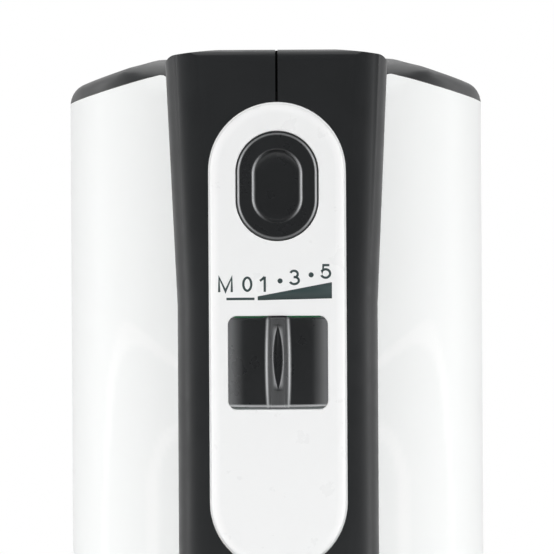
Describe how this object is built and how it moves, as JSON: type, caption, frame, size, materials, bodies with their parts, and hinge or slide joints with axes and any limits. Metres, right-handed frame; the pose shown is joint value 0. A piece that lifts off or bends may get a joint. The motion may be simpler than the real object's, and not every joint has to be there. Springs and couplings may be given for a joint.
{
  "type": "hand mixer",
  "caption": "Hand mixer parked on its heel: looped grip with pill-shaped control panel, eject button and speed slider, white side covers and two whisking beaters.",
  "frame": {"origin": "centre of the accessory port's mouth in the heel plane, on the motor axis", "axes": "+Z from the heel to the nose along the motor shaft; +Y away from the grip, along the beaters; +X to the right of the control panel"},
  "size_m": [0.0914, 0.2811, 0.1994],
  "materials": {
    "dark_housing": "soft satin moulding",
    "white_cover": "polished moulding",
    "white_panel": "polished moulding",
    "dark_control": "fine satin moulding",
    "black_gland": "soft moulded",
    "grey_moulding": "plain moulded",
    "natural_nylon": "plain moulded",
    "circuit_board": "lacquered",
    "capacitor_case": "moulded case",
    "cast_alloy": "die cast",
    "lamination": "stamped and stacked",
    "enamelled_wire": "lacquered windings",
    "commutator_metal": "turned",
    "bronze": "sintered",
    "brass_sheet": "pressed",
    "carbon": "pressed graphite",
    "machined_steel": "ground",
    "plated_steel": "zinc plated",
    "spring_steel": "drawn wire",
    "beater_chrome": "polished"
  },
  "bodies": {
    "housing": {"chassis_left": "dark_housing", "chassis_right": "dark_housing", "nose_cap": "dark_housing", "side_cover_left": "white_cover", "side_cover_right": "white_cover", "heel_cover": "dark_housing", "base_cover": "dark_housing", "control_panel": "white_panel", "port_collar": "grey_moulding", "cord_gland": "black_gland", "cord_clamp": "grey_moulding", "terminal_block": "natural_nylon", "housing_screws": "plated_steel", "ejector_spring": "spring_steel", "slider_bracket": "grey_moulding", "speed_switch": "dark_control", "control_board": "circuit_board", "heat_sink": "cast_alloy", "suppression_capacitor": "capacitor_case", "choke_coils": "enamelled_wire", "rear_bracket": "cast_alloy", "front_bracket": "cast_alloy", "stator_core": "lamination", "field_coils": "enamelled_wire", "shaft_bearings": "bronze", "brush_holders": "brass_sheet", "carbon_brushes": "carbon", "brush_springs": "spring_steel", "motor_screws": "plated_steel", "gear_case": "grey_moulding", "gear_case_cover": "grey_moulding", "gear_case_screws": "plated_steel", "spindle_bushes": "bronze"},
    "armature": {"worm_shaft": "machined_steel", "armature_core": "lamination", "armature_windings": "enamelled_wire", "commutator": "commutator_metal", "cooling_fan": "natural_nylon", "drive_coupling": "grey_moulding"},
    "left_spindle": {"spindle_left": "machined_steel", "worm_wheel_left": "natural_nylon", "spindle_clip_left": "spring_steel"},
    "right_spindle": {"spindle_right": "machined_steel", "worm_wheel_right": "natural_nylon", "spindle_clip_right": "spring_steel"},
    "left_beater": {"beater_shaft_left": "beater_chrome", "beater_strips_left": "beater_chrome"},
    "right_beater": {"beater_shaft_right": "beater_chrome", "beater_strips_right": "beater_chrome"},
    "ejector": {"eject_button": "dark_control", "ejector_rod": "grey_moulding"},
    "slider": {"speed_slider": "dark_control"},
    "carriage": {"contact_carriage": "natural_nylon"},
    "shutter": {"port_shutter": "dark_control"}
  },
  "joints": [
    {"name": "motor_spin", "type": "hinge", "parent": "housing", "child": "armature", "pos_m": [0, 0, 0.1], "axis": [0, 0, 1], "continuous": true},
    {"name": "left_spindle_spin", "type": "hinge", "parent": "housing", "child": "left_spindle", "pos_m": [-0.02, 0, 0.1615], "axis": [0, 1, 0], "continuous": true},
    {"name": "right_spindle_spin", "type": "hinge", "parent": "housing", "child": "right_spindle", "pos_m": [0.02, 0, 0.1615], "axis": [0, 1, 0], "continuous": true},
    {"name": "eject_press", "type": "slide", "parent": "housing", "child": "ejector", "axis": [0, 1, 0], "range_m": [0, 0.006], "stiffness_N_per_m": 700, "springref_m": -0.004, "deforming": ["ejector_spring"]},
    {"name": "left_beater_release", "type": "slide", "parent": "left_spindle", "child": "left_beater", "axis": [0, 1, 0], "range_m": [0, 0.006]},
    {"name": "right_beater_release", "type": "slide", "parent": "right_spindle", "child": "right_beater", "axis": [0, 1, 0], "range_m": [0, 0.006]},
    {"name": "speed_select", "type": "hinge", "parent": "housing", "child": "slider", "pos_m": [0, -0.0836, 0.1342], "axis": [0, 0, 1], "range_deg": [-24, 24]},
    {"name": "contact_slide", "type": "slide", "parent": "housing", "child": "carriage", "axis": [1, 0, 0], "range_m": [-0.003, 0.003]},
    {"name": "shutter_slide", "type": "slide", "parent": "housing", "child": "shutter", "axis": [0, 1, 0], "range_m": [0, 0.033]}
  ],
  "couplings": [
    {"joint": "left_spindle_spin", "follows": "motor_spin", "ratio": 0.0625},
    {"joint": "right_spindle_spin", "follows": "motor_spin", "ratio": -0.0625},
    {"joint": "left_beater_release", "follows": "eject_press", "ratio": 1},
    {"joint": "right_beater_release", "follows": "eject_press", "ratio": 1},
    {"joint": "contact_slide", "follows": "speed_select", "m_per_rad": -0.006}
  ]
}
